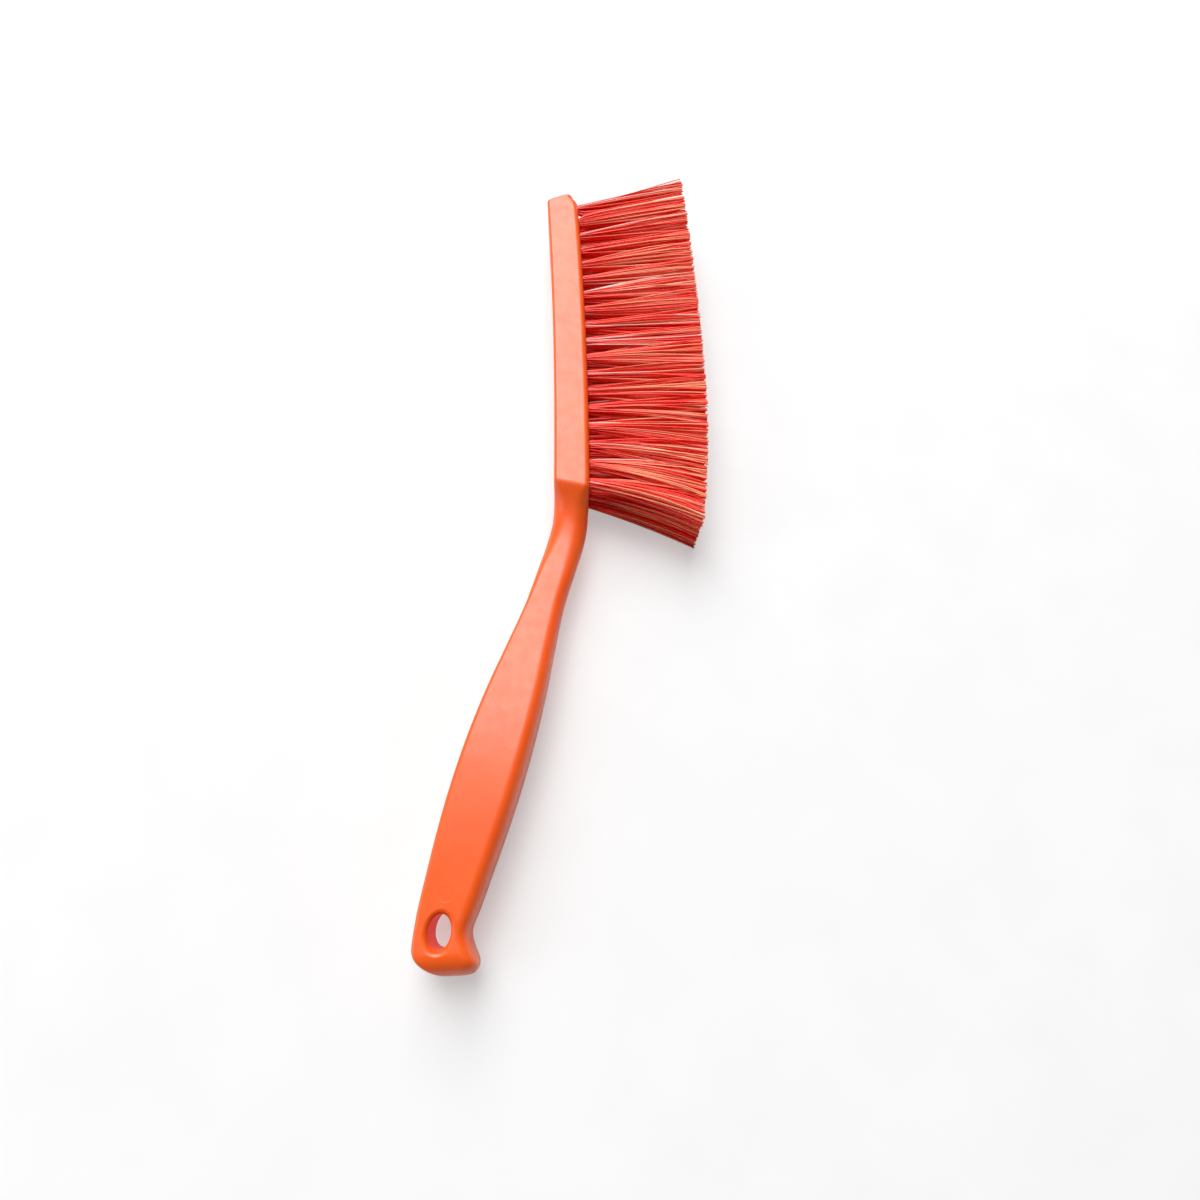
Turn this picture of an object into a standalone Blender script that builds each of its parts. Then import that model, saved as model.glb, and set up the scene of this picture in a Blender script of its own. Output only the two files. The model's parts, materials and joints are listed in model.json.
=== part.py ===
"""Bakery brush lying on its side: a moulded head and handle, and bristle tufts that fan out from the head.

Lengths are in metres and +Z is up. +Y runs along the head to its tip, and +X is where the bristles point.
"""

import math
import random

import bmesh
import bpy
from mathutils import Matrix, Vector

# Tuft layout
TUFT_PITCH = 0.00868
ROW_TUFTS = 18
ROW_GAP = 0.0080
MIDDLE_ROW_SET_BACK = 0.0044

# Tufts
PLUG_RADIUS = 0.0023
PLUG_CLEARANCE = 0.00035
HOLE_DEPTH = 0.0090
HOLE_SIDES = 10
FOLD_LENGTH = 0.0018
FOLD_THICKNESS = 0.0016
FOLD_WIDTH = 0.0040
STRANDS = 9
STRAND_INSET = 0.00018
STRAND_GAP = 0.0005
STRAND_TIP_RADIUS = 0.00112
LENGTH_SCATTER = 0.0009
TRIM_REACH = 0.0501
TRIM_BOW = 0.00185
TRIM_POWER = 3.0
TRIM_CROWN_SHARE = 0.35
TRIM_PASSES = 6
TIP_LEAN = math.radians(10.6)
HEEL_LEAN = math.radians(-20.0)
ROW_LEAN = math.radians(1.6)
UPRIGHT_SHARE = -0.15
HEEL_LEAN_POWER = 2.0
TIP_SPREAD_SHARE = 0.70
SIDE_MARGIN = 0.0003
INNER_STRAND_SHARE = 0.42
STRANDS_PER_INNER = 3
SCATTER_SEED = 7

# Head
HEAD_THICKNESS = 0.0140
HEAD_WIDTH = 0.0260
HEAD_BOW = 0.0011
HEAD_BACK_ROUND = 0.0015
HEAD_FRONT_ROUND = 0.0022
TIP_MARGIN = 0.0053
TIP_LENGTH = 0.0100
TIP_DEPTH_ROUND = 0.0012
TIP_FRONT_ROUND = 0.0040
HEEL_MARGIN = 0.0005
HEAD_RING_STEP = 0.0150

# Handle
HANDLE_LENGTH = 0.1714
HANDLE_SWING = 0.0457
NECK_THICKNESS = 0.0140
NECK_DEPTH = 0.0100
NECK_ROUND = 0.0060
GRIP_THICKNESS = 0.0231
GRIP_DEPTH = 0.0208
GRIP_FRONT_ROUND = 0.0044
END_DEPTH = 0.0180
END_BACK_ROUND = 0.0086
END_HOOK_ROUND = 0.0050
END_DEPTH_ROUND = 0.0070
HANDLE_RING_STEP = 0.0065
HEEL_RING_STEP = 0.0009
END_RING_STEP = 0.0024
END_CAP_RINGS = 6
RING_CORNER_STEPS = 5

# Hanging hole
HANG_HOLE_WIDTH = 0.0073
HANG_HOLE_LENGTH = 0.0107
HANG_HOLE_ROUND = 0.0018
HANG_HOLE_SET_BACK = 0.0005
HANG_HOLE_ANGLE = math.radians(-9.4)
HANG_HOLE_SIDES = 28
HANG_HOLE_ROUND_STEPS = 4

# Cutters run past the faces that they cut by this much
OVERRUN = 0.0030

# Tip of the head: along the tip length, then in from the back and in from the front, of the head's thickness
TIP_SHARES = (
    (0.00, 0.00, 0.00),
    (0.30, 0.00, 0.00),
    (0.55, 0.00, 0.00),
    (0.62, 0.02, 0.02),
    (0.70, 0.13, 0.05),
    (0.79, 0.28, 0.09),
    (0.88, 0.44, 0.14),
    (0.95, 0.56, 0.20),
    (0.98, 0.61, 0.24),
    (1.00, 0.64, 0.26),
)

# Middle line of the handle: along its length, then how much of the swing it has reached
SWING_SHARES = (
    (0.00, 0.000),
    (0.04, 0.010),
    (0.09, 0.032),
    (0.14, 0.080),
    (0.19, 0.140),
    (0.33, 0.312),
    (0.51, 0.528),
    (0.67, 0.714),
    (0.82, 0.884),
    (0.90, 0.972),
    (0.93, 1.000),
    (0.96, 0.988),
    (1.00, 0.930),
)

# Thickness of the handle: along its length, then how far it has grown from the neck's to the grip's
SWELL_SHARES = (
    (0.045, -0.05),
    (0.14, 0.07),
    (0.24, 0.05),
    (0.29, 0.08),
    (0.38, 0.38),
    (0.47, 0.73),
    (0.57, 0.95),
    (0.67, 0.99),
    (0.75, 0.88),
    (0.82, 0.70),
    (0.89, 0.50),
    (0.928, 0.33),
    (0.96, 0.50),
    (0.975, 0.59),
    (1.00, 0.63),
)

# Depth of the neck: along the handle, then how far it has stepped in from the head's width
STEP_SHARES = (
    (0.000, 0.000),
    (0.007, 0.015),
    (0.014, 0.065),
    (0.022, 0.155),
    (0.032, 0.280),
    (0.044, 0.420),
    (0.057, 0.553),
    (0.071, 0.672),
    (0.087, 0.778),
    (0.105, 0.866),
    (0.126, 0.936),
    (0.150, 0.980),
    (0.180, 1.000),
)

# Depth of the grip: along the handle, then how far it has grown from the neck's depth
DEPTH_SHARES = (
    (0.20, 0.00),
    (0.29, 0.12),
    (0.42, 0.60),
    (0.58, 1.00),
    (0.72, 1.00),
)

# Corners of the neck: along the handle, then how far their rounding has grown to the neck's own
NECK_ROUND_SHARES = (
    (0.010, 0.00),
    (0.045, 0.80),
    (0.075, 1.00),
    (0.130, 1.00),
    (0.200, 0.35),
    (0.300, 0.00),
)

# Places along the handle: front corners rounded as the grip's, depth of the end reached, middle of the hole
ROUNDED_SHARE = 0.17
END_DEPTH_SHARE = 0.93
HANG_HOLE_SHARE = 0.925

# Most of a cross-section's half thickness or half depth that a rounded corner may take up
CORNER_ROOM_SHARE = 0.88

# Finishes
PLASTIC_COLOR = (0.95, 0.13, 0.015, 1.0)
PLASTIC_ROUGHNESS = 0.38
FILAMENT_COLOR = (0.82, 0.035, 0.012, 1.0)
FILAMENT_ROUGHNESS = 0.30

ROW_HALF = TUFT_PITCH * (ROW_TUFTS - 1) / 2
MIDDLE_ROW_PITCH = TUFT_PITCH - MIDDLE_ROW_SET_BACK / (ROW_TUFTS - 1)
TIP_Y = ROW_HALF + TIP_MARGIN
HEEL_Y = -ROW_HALF - HEEL_MARGIN
HANDLE_END_Y = HEEL_Y - HANDLE_LENGTH
HEAD_MIDDLE_Z = HEAD_WIDTH / 2


def clear_scene():
    for obj in list(bpy.data.objects):
        bpy.data.objects.remove(obj, do_unlink=True)


def blend(start, end, share):
    return start + (end - start) * share


def smooth_through(points, at):
    """A smooth curve through (place, value) points, read at one place."""
    if at <= points[0][0]:
        return points[0][1]
    if at >= points[-1][0]:
        return points[-1][1]
    last = len(points) - 1
    index = next(i for i in range(last) if at <= points[i + 1][0])

    def slope(i):
        before, after = points[max(i - 1, 0)], points[min(i + 1, last)]
        return (after[1] - before[1]) / (after[0] - before[0])

    (start, low), (end, high) = points[index], points[index + 1]
    span = end - start
    t = (at - start) / span
    return (
        low * (1 + 2 * t) * (1 - t) ** 2
        + slope(index) * span * t * (1 - t) ** 2
        + high * t**2 * (3 - 2 * t)
        - slope(index + 1) * span * t**2 * (1 - t)
    )


def rounded_in(to_end, round_size):
    """How far an edge has turned in, this close to an end that is rounded by round_size."""
    if to_end >= round_size:
        return 0.0
    reached = 1 - max(to_end, 0.0) / round_size
    return round_size * (1 - math.sqrt(1 - reached**2))


def bow_at(y):
    """The head is bowed: its middle stands out by HEAD_BOW over the ends of the tuft rows."""
    return -HEAD_BOW * (y / ROW_HALF) ** 2


def section_ring(y, back, front, half_depth, back_corner, front_corner):
    """Points of one cross-section, from its front upper corner round to its front lower corner."""
    corners = (
        (front, front_corner, 1, 1),
        (back, back_corner, -1, 1),
        (back, back_corner, -1, -1),
        (front, front_corner, 1, -1),
    )
    points = []
    for number, (edge, (round_x, round_z), side_x, side_z) in enumerate(corners):
        steps = range(RING_CORNER_STEPS + 1)
        for step in steps if number % 2 == 0 else reversed(steps):
            angle = math.pi / 2 * step / RING_CORNER_STEPS
            x = edge - side_x * round_x * (1 - math.cos(angle))
            z = side_z * (half_depth - round_z * (1 - math.sin(angle)))
            points.append(Vector((x, y, HEAD_MIDDLE_Z + z)))
    return points


def fitted_corner(size, thickness, half_depth):
    """Rounding of a corner across and through the body, kept within the room that the cross-section has."""
    fitted = min(size, CORNER_ROOM_SHARE * min(thickness / 2, half_depth))
    return fitted, fitted


def oval_corner(size, thickness, half_depth):
    """Rounding of a corner across and through the handle, each kept within its own room."""
    return tuple(min(size, CORNER_ROOM_SHARE * room) for room in (thickness / 2, half_depth))


def head_ring(y, back_in=0.0, front_in=0.0, depth_in=0.0, front_round=HEAD_FRONT_ROUND):
    front = bow_at(y) - front_in
    back = bow_at(y) - HEAD_THICKNESS + back_in
    half_depth = HEAD_WIDTH / 2 - depth_in
    back_corner = fitted_corner(HEAD_BACK_ROUND, front - back, half_depth)
    front_corner = fitted_corner(front_round, front - back, half_depth)
    return section_ring(y, back, front, half_depth, back_corner, front_corner)


def tip_rings():
    """Cross-sections of the tip, whose front corners round off more and more towards its end."""
    rings = []
    for along, back_share, front_share in reversed(TIP_SHARES):
        y = TIP_Y - TIP_LENGTH * (1 - along)
        back_in = HEAD_THICKNESS * back_share
        front_in = HEAD_THICKNESS * front_share
        depth_in = rounded_in(TIP_Y - y, TIP_DEPTH_ROUND)
        front_round = blend(HEAD_FRONT_ROUND, TIP_FRONT_ROUND, along**2 * (3 - 2 * along))
        rings.append(head_ring(y, back_in, front_in, depth_in, front_round))
    return rings


def spaced(start, end, step):
    """Places from start to end, no further apart than step, without the first."""
    count = max(1, math.ceil(abs(end - start) / step))
    return [blend(start, end, i / count) for i in range(1, count + 1)]


def handle_middle(along):
    """X of the handle's middle line at this share of its length."""
    return bow_at(HEEL_Y) - HEAD_THICKNESS / 2 - HANDLE_SWING * smooth_through(SWING_SHARES, along)


def handle_thickness(along):
    stations = [(0.0, HEAD_THICKNESS)]
    stations += [(place, blend(NECK_THICKNESS, GRIP_THICKNESS, grown)) for place, grown in SWELL_SHARES]
    return smooth_through(stations, along)


def handle_depth(along):
    stations = [(place, blend(HEAD_WIDTH, NECK_DEPTH, stepped)) for place, stepped in STEP_SHARES]
    stations += [(place, blend(NECK_DEPTH, GRIP_DEPTH, grown)) for place, grown in DEPTH_SHARES]
    stations.append((END_DEPTH_SHARE, END_DEPTH))
    return smooth_through(stations, along)


def handle_ring(y):
    to_end = y - HANDLE_END_Y
    along = 1 - to_end / HANDLE_LENGTH
    half = handle_thickness(along) / 2
    back = handle_middle(along) - half + rounded_in(to_end, END_BACK_ROUND)
    front = handle_middle(along) + half - rounded_in(to_end, END_HOOK_ROUND)
    half_depth = handle_depth(along) / 2 - rounded_in(to_end, END_DEPTH_ROUND)
    rounded = min(along / ROUNDED_SHARE, 1.0)
    necked = smooth_through(NECK_ROUND_SHARES, along)
    back_round = blend(HEAD_BACK_ROUND, NECK_ROUND, necked)
    front_round = blend(blend(HEAD_FRONT_ROUND, GRIP_FRONT_ROUND, rounded), NECK_ROUND, necked)
    back_corner = oval_corner(back_round, front - back, half_depth)
    front_corner = oval_corner(front_round, front - back, half_depth)
    return section_ring(y, back, front, half_depth, back_corner, front_corner)


def handle_places():
    """Where the handle's cross-sections lie: close together at the heel and round the end."""
    rounded_y = blend(HEEL_Y, HANDLE_END_Y, ROUNDED_SHARE)
    waist_y = blend(HEEL_Y, HANDLE_END_Y, END_DEPTH_SHARE) + END_DEPTH
    cap_y = HANDLE_END_Y + END_BACK_ROUND
    places = spaced(HEEL_Y, rounded_y, HEEL_RING_STEP)
    places += spaced(rounded_y, waist_y, HANDLE_RING_STEP)
    places += spaced(waist_y, cap_y, END_RING_STEP)
    for i in range(1, END_CAP_RINGS + 1):
        turn = math.pi / 2 * i / END_CAP_RINGS
        places.append(cap_y - END_BACK_ROUND * math.sin(turn))
    return places


def skin_rings(mesh, rings):
    """Joins cross-sections into one closed skin and caps both ends."""
    loops = [[mesh.verts.new(point) for point in ring] for ring in rings]
    for first, second in zip(loops, loops[1:]):
        for i, vert in enumerate(first):
            after = (i + 1) % len(first)
            mesh.faces.new((vert, first[after], second[after], second[i]))
    mesh.faces.new(loops[0])
    mesh.faces.new(loops[-1])
    bmesh.ops.recalc_face_normals(mesh, faces=mesh.faces)


def object_from(name, mesh, location=None, turn=0.0):
    data = bpy.data.meshes.new(name)
    mesh.to_mesh(data)
    mesh.free()
    obj = bpy.data.objects.new(name, data)
    obj.location = location or Vector()
    obj.rotation_euler.z = turn
    bpy.context.scene.collection.objects.link(obj)
    return obj


def smooth_shading(obj):
    for face in obj.data.polygons:
        face.use_smooth = True


def cut(obj, cutter):
    cutter.hide_render = True
    cutter.display_type = "WIRE"
    boolean = obj.modifiers.new(cutter.name, "BOOLEAN")
    boolean.operation = "DIFFERENCE"
    boolean.solver = "EXACT"
    boolean.object = cutter


def finish_material(name, color, roughness):
    material = bpy.data.materials.new(name)
    material.use_nodes = True
    shader = material.node_tree.nodes["Principled BSDF"]
    shader.inputs["Base Color"].default_value = color
    shader.inputs["Roughness"].default_value = roughness
    material.diffuse_color = color
    return material


def row_pitch(side):
    """The middle row starts further from the tip and is set closer, so that all rows end at the heel."""
    return TUFT_PITCH if side else MIDDLE_ROW_PITCH


def tuft_rows():
    """(row number, side, places along the head) of the three rows, each counted from the head's tip."""
    rows = []
    for row, side in enumerate((1, 0, -1), 1):
        places = [row_pitch(side) * i - ROW_HALF for i in reversed(range(ROW_TUFTS))]
        rows.append((row, side, places))
    return rows


def tuft_lean(y):
    """The tufts fan out: they stand upright a little towards the heel and lean away from there."""
    share = y / ROW_HALF
    if share > UPRIGHT_SHARE:
        return TIP_LEAN * (share - UPRIGHT_SHARE) / (1 - UPRIGHT_SHARE)
    return HEEL_LEAN * ((UPRIGHT_SHARE - share) / (1 + UPRIGHT_SHARE)) ** HEEL_LEAN_POWER


def trim_reach(y):
    """X at which the bristles are trimmed off. The trimmed face is crowned towards the tip."""
    return TRIM_REACH - TRIM_BOW * abs(y / ROW_HALF - TRIM_CROWN_SHARE) ** TRIM_POWER


def trimmed(place, point):
    """Height in a tuft's own frame at which a strand that ends over this point meets the trimmed face."""
    height = TRIM_REACH
    for _ in range(TRIM_PASSES):
        tip = place @ Vector((point.x, point.y, height))
        height += trim_reach(tip.y) - tip.x
    return height


def tuft_matrix(y, side):
    """Places a tuft: its own +Z leaves the head, and its own +X lies along the head.

    Side is 1, 0 or -1 for the upper, middle and lower row. The outer rows lean outwards.
    """
    lean = tuft_lean(y)
    out = Vector((math.cos(lean), math.sin(lean), math.tan(ROW_LEAN) * side)).normalized()
    along = Vector((-math.sin(lean), math.cos(lean), 0))
    turn = Matrix((along, out.cross(along), out)).transposed()
    place = Vector((bow_at(y), y, HEAD_MIDDLE_Z + ROW_GAP * side))
    return Matrix.Translation(place) @ turn.to_4x4()


def tip_middle(y):
    """Y at which the middle of the tuft rooted at y is trimmed off."""
    place = tuft_matrix(y, 0)
    return (place @ Vector((0, 0, trimmed(place, Vector())))).y


def strand_tip(number, room_along, room_across):
    """Where a strand ends: most end round the tuft's rim, and every third one further in."""
    angle = 2 * math.pi * (number + 0.5) / STRANDS
    reach = INNER_STRAND_SHARE if number % STRANDS_PER_INNER == 0 else 1.0
    return Vector((room_along * reach * math.cos(angle), room_across * reach * math.sin(angle), 0))


def tuft_plug(mesh):
    """The tuft's root, folded at its lower end. Returns the faces on top, one for each strand."""
    bottom = FOLD_LENGTH - HOLE_DEPTH + PLUG_CLEARANCE
    angles = [2 * math.pi * i / STRANDS for i in range(STRANDS)]
    rim = [Vector((PLUG_RADIUS * math.cos(a), PLUG_RADIUS * math.sin(a), 0)) for a in angles]
    fold = [Vector((FOLD_THICKNESS / 2 * math.cos(a), FOLD_WIDTH / 2 * math.sin(a), 0)) for a in angles]
    top = -PLUG_CLEARANCE
    rings = (
        [mesh.verts.new(point + Vector((0, 0, bottom - FOLD_LENGTH))) for point in fold],
        [mesh.verts.new(point + Vector((0, 0, bottom))) for point in rim],
        [mesh.verts.new(point + Vector((0, 0, top))) for point in rim],
    )
    for first, second in zip(rings, rings[1:]):
        for i in range(STRANDS):
            after = (i + 1) % STRANDS
            mesh.faces.new((first[i], first[after], second[after], second[i]))
    mesh.faces.new(list(reversed(rings[0])))
    middle = mesh.verts.new((0, 0, top))
    return [mesh.faces.new((rings[2][i], rings[2][(i + 1) % STRANDS], middle)) for i in range(STRANDS)]


def grow_strands(mesh, faces, place, room_along, room_across, scatter):
    """Each face on top of the plug becomes the root of one straight strand of three sides."""
    bmesh.ops.inset_individual(mesh, faces=faces, thickness=STRAND_INSET)
    tips = bmesh.ops.extrude_discrete_faces(mesh, faces=faces)["faces"]
    for number, face in enumerate(tips):
        tip = strand_tip(number, room_along, room_across)
        tip.z = trimmed(place, tip) - LENGTH_SCATTER * scatter.random()
        root = face.calc_center_median()
        widest = max((vert.co - root).length for vert in face.verts)
        for vert in face.verts:
            vert.co = tip + (vert.co - root) * STRAND_TIP_RADIUS / widest


def tip_rooms(y, side):
    """How far strand tips may spread along and across the head, clear of other tufts and the sides."""
    own_room = STRAND_TIP_RADIUS + STRAND_GAP / 2
    pitch = row_pitch(side)
    between_tips = tip_middle(y + pitch / 2) - tip_middle(y - pitch / 2)
    along = min(between_tips / 2, pitch * TIP_SPREAD_SHARE) * math.cos(tuft_lean(y)) - own_room
    row_shift = TRIM_REACH * math.tan(ROW_LEAN)
    across = (ROW_GAP + row_shift) / 2 - own_room
    if side:
        across = min(across, HEAD_MIDDLE_Z - ROW_GAP - row_shift - STRAND_TIP_RADIUS - SIDE_MARGIN)
    return along, across


def make_tuft(name, y, side, material, scatter):
    mesh = bmesh.new()
    faces = tuft_plug(mesh)
    place = tuft_matrix(y, side)
    grow_strands(mesh, faces, place, *tip_rooms(y, side), scatter)
    bmesh.ops.recalc_face_normals(mesh, faces=mesh.faces)
    obj = object_from(name, mesh)
    obj.matrix_world = place
    obj.data.materials.append(material)
    return obj


def tuft_hole_cutter():
    """One prism for each blind hole, along its tuft's own lean."""
    mesh = bmesh.new()
    radius = (PLUG_RADIUS + PLUG_CLEARANCE) / math.cos(math.pi / HOLE_SIDES)
    for _, side, places in tuft_rows():
        for y in places:
            middle = Matrix.Translation((0, 0, (OVERRUN - HOLE_DEPTH) / 2))
            bmesh.ops.create_cone(
                mesh,
                cap_ends=True,
                segments=HOLE_SIDES,
                radius1=radius,
                radius2=radius,
                depth=HOLE_DEPTH + OVERRUN,
                matrix=tuft_matrix(y, side) @ middle,
            )
    bmesh.ops.recalc_face_normals(mesh, faces=mesh.faces)
    return object_from("tuft_hole_cutter", mesh)


def hang_hole_rings():
    """The oval hole flares out by its rounding at both mouths."""
    half_depth = END_DEPTH / 2
    heights = [(half_depth + OVERRUN, HANG_HOLE_ROUND)]
    for i in range(HANG_HOLE_ROUND_STEPS + 1):
        turn = math.pi / 2 * i / HANG_HOLE_ROUND_STEPS
        height = half_depth - HANG_HOLE_ROUND * (1 - math.cos(turn))
        heights.append((height, HANG_HOLE_ROUND * (1 - math.sin(turn))))
    heights += [(-height, flare) for height, flare in reversed(heights)]
    rings = []
    for height, flare in heights:
        ring = []
        for i in range(HANG_HOLE_SIDES):
            angle = 2 * math.pi * i / HANG_HOLE_SIDES
            x = (HANG_HOLE_WIDTH / 2 + flare) * math.cos(angle)
            y = (HANG_HOLE_LENGTH / 2 + flare) * math.sin(angle)
            ring.append(Vector((x, y, height)))
        rings.append(ring)
    return rings


def hang_hole_cutter():
    mesh = bmesh.new()
    skin_rings(mesh, hang_hole_rings())
    y = blend(HEEL_Y, HANDLE_END_Y, HANG_HOLE_SHARE)
    place = Vector((handle_middle(HANG_HOLE_SHARE) - HANG_HOLE_SET_BACK, y, HEAD_MIDDLE_Z))
    return object_from("hanging_hole_cutter", mesh, place, HANG_HOLE_ANGLE)


def make_handle_block(material):
    """Head, neck and grip in one moulding, with the blind tuft holes and the hanging hole cut out."""
    tip_start = TIP_Y - TIP_LENGTH
    rings = tip_rings()
    rings += [head_ring(y) for y in spaced(tip_start, HEEL_Y, HEAD_RING_STEP)]
    rings += [handle_ring(y) for y in handle_places()]
    mesh = bmesh.new()
    skin_rings(mesh, rings)
    obj = object_from("handle_block", mesh)
    obj.data.materials.append(material)
    smooth_shading(obj)
    cut(obj, tuft_hole_cutter())
    cut(obj, hang_hole_cutter())
    return obj


def centre_on_origin(nodes):
    """Moves everything so that the middle of the underside of the whole brush is at the origin."""
    bpy.context.view_layer.update()
    corners = [node.matrix_world @ vert.co for node in nodes for vert in node.data.vertices]
    low = Vector(min(corner[axis] for corner in corners) for axis in range(3))
    high = Vector(max(corner[axis] for corner in corners) for axis in range(3))
    middle = (low + high) / 2
    for obj in bpy.data.objects:
        obj.location -= Vector((middle.x, middle.y, low.z))


def main():
    clear_scene()
    plastic = finish_material("orange_plastic", PLASTIC_COLOR, PLASTIC_ROUGHNESS)
    filament = finish_material("red_filament", FILAMENT_COLOR, FILAMENT_ROUGHNESS)
    scatter = random.Random(SCATTER_SEED)
    nodes = [make_handle_block(plastic)]
    for row, side, places in tuft_rows():
        for number, y in enumerate(places, 1):
            nodes.append(make_tuft(f"tuft_{row}_{number:02d}", y, side, filament, scatter))
    centre_on_origin(nodes)


main()
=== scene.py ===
"""Bakery brush lying on its side: the looks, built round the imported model.

Lengths are in metres and angles in radians. Inside the classes the head is laid out round the middle of
its bristle face, and BRUSH_PLACE then carries each piece into the row frame: +Y along the head to its tip,
+X the way the bristles point, +Z up through the width of the head.
"""

import json
import logging
import math
from collections.abc import Callable, Iterable
from dataclasses import dataclass, field
from enum import Enum

import bmesh
import bpy
import numpy as np
from mathutils import Matrix, Vector

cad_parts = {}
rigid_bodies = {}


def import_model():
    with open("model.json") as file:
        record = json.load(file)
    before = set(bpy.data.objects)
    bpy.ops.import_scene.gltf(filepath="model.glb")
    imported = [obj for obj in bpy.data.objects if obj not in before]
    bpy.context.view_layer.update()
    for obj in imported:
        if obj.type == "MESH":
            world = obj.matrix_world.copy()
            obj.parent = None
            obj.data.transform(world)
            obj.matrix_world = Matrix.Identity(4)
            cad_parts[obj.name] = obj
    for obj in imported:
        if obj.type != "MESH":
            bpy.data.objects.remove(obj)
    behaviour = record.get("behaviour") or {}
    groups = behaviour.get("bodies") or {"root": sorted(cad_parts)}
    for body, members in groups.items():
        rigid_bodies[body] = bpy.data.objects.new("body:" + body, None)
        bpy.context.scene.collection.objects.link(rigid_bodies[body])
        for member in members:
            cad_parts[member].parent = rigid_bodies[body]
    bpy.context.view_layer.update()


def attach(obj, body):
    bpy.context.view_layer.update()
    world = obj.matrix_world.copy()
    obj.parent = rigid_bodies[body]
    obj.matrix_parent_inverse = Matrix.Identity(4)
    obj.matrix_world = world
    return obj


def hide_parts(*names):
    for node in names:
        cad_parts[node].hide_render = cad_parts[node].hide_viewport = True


Color = tuple[float, float, float, float]
Triple = tuple[float, float, float]
Span = tuple[float, float]
Shares = tuple[tuple[float, float], ...]
Socket = bpy.types.NodeSocket
Input = Socket | Color | Triple | list[float] | float

LOG = logging.getLogger("bakery_brush")
BRUSH_PLACE = Vector((0.006216, 0.079288, 0.013000))
# Places nearer to each other than this count as one.
SAME_PLACE = 1e-7
# Nearly all of a noise's values lie between these two.
MIDDLING: Span = (0.3, 0.7)
RANGE_INPUTS = ("Value", "From Min", "From Max", "To Min", "To Max")


class Row(Enum):
    """The three rows of tufts, with the side of the head's middle that each lies on."""

    UPPER = 1
    MIDDLE = 0
    LOWER = -1

    @property
    def number(self) -> int:
        """Number of the row in the CAD nodes' names."""
        return 2 - self.value


class Edge(Enum):
    """The two edges of the body's outline."""

    BACK = -1
    FRONT = 1


def blend(start: float, end: float, share: float) -> float:
    """Value that lies this share of the way from start to end."""
    return start + (end - start) * share


def smooth_through(points: Shares, at: float) -> float:
    """Reads a smooth curve through a few points.

    Args:
        points: (place, value) pairs, in order of place.
        at: Place to read.

    Returns:
        The curve's value there. Outside the points it keeps the nearest one's value.
    """
    if at <= points[0][0]:
        return points[0][1]
    if at >= points[-1][0]:
        return points[-1][1]
    last = len(points) - 1
    index = next(i for i in range(last) if at <= points[i + 1][0])

    def slope(i: int) -> float:
        """Steepness of the curve at one of its points."""
        before, after = points[max(i - 1, 0)], points[min(i + 1, last)]
        return (after[1] - before[1]) / (after[0] - before[0])

    (start, low), (end, high) = points[index], points[index + 1]
    span = end - start
    t = (at - start) / span
    return (
        low * (1 + 2 * t) * (1 - t) ** 2
        + slope(index) * span * t * (1 - t) ** 2
        + high * t**2 * (3 - 2 * t)
        - slope(index + 1) * span * t**2 * (1 - t)
    )


def graded(start: float, end: float, shares: Shares) -> Shares:
    """The same places, each with the value that its share stands for between start and end."""
    return tuple((place, blend(start, end, share)) for place, share in shares)


def rounded_in(to_end: float, size: float) -> float:
    """How far an edge has turned in near a rounded end.

    Args:
        to_end: Distance to the end.
        size: Rounding of the end.

    Returns:
        Distance from the edge's straight run, which is 0 before the rounding begins.
    """
    if to_end >= size:
        return 0.0
    reached = 1 - max(to_end, 0.0) / size
    return size * (1 - math.sqrt(1 - reached**2))


def spaced(start: float, end: float, step: float) -> list[float]:
    """Places from start to end, no further apart than step, without the first."""
    count = max(1, math.ceil(abs(end - start) / step))
    return [blend(start, end, i / count) for i in range(1, count + 1)]


def object_mode() -> None:
    """Leaves edit mode."""
    if bpy.context.mode != "OBJECT":
        bpy.ops.object.mode_set(mode="OBJECT")


def start_mesh() -> None:
    """Starts an empty mesh object at the origin, in edit mode."""
    object_mode()
    bpy.ops.object.select_all(action="DESELECT")
    bpy.ops.mesh.primitive_plane_add(size=1)
    bpy.ops.object.mode_set(mode="EDIT")
    bpy.ops.mesh.delete(type="VERT")


def only(*pieces: bpy.types.Object) -> None:
    """Selects pieces alone and makes the first one active.

    Args:
        *pieces: The pieces.
    """
    object_mode()
    bpy.ops.object.select_all(action="DESELECT")
    for piece in pieces:
        piece.select_set(True)
    bpy.context.view_layer.objects.active = pieces[0]


def named(name: str) -> bpy.types.Object:
    """Names the active object and its mesh.

    Args:
        name: Their name.

    Returns:
        The object.
    """
    piece = bpy.context.view_layer.objects.active
    piece.name = name
    piece.data.name = name
    return piece


def copied(piece: bpy.types.Object, name: str, place: Matrix) -> bpy.types.Object:
    """Copies a piece with its own mesh and sets the copy at a place.

    Args:
        piece: The piece to copy.
        name: Name of the copy.
        place: Where the copy goes, which is applied to its mesh.

    Returns:
        The copy, whose object sits at the origin.
    """
    twin = bpy.data.objects.new(name, piece.data.copy())
    twin.data.name = name
    twin.data.transform(place)
    bpy.context.scene.collection.objects.link(twin)
    return twin


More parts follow.
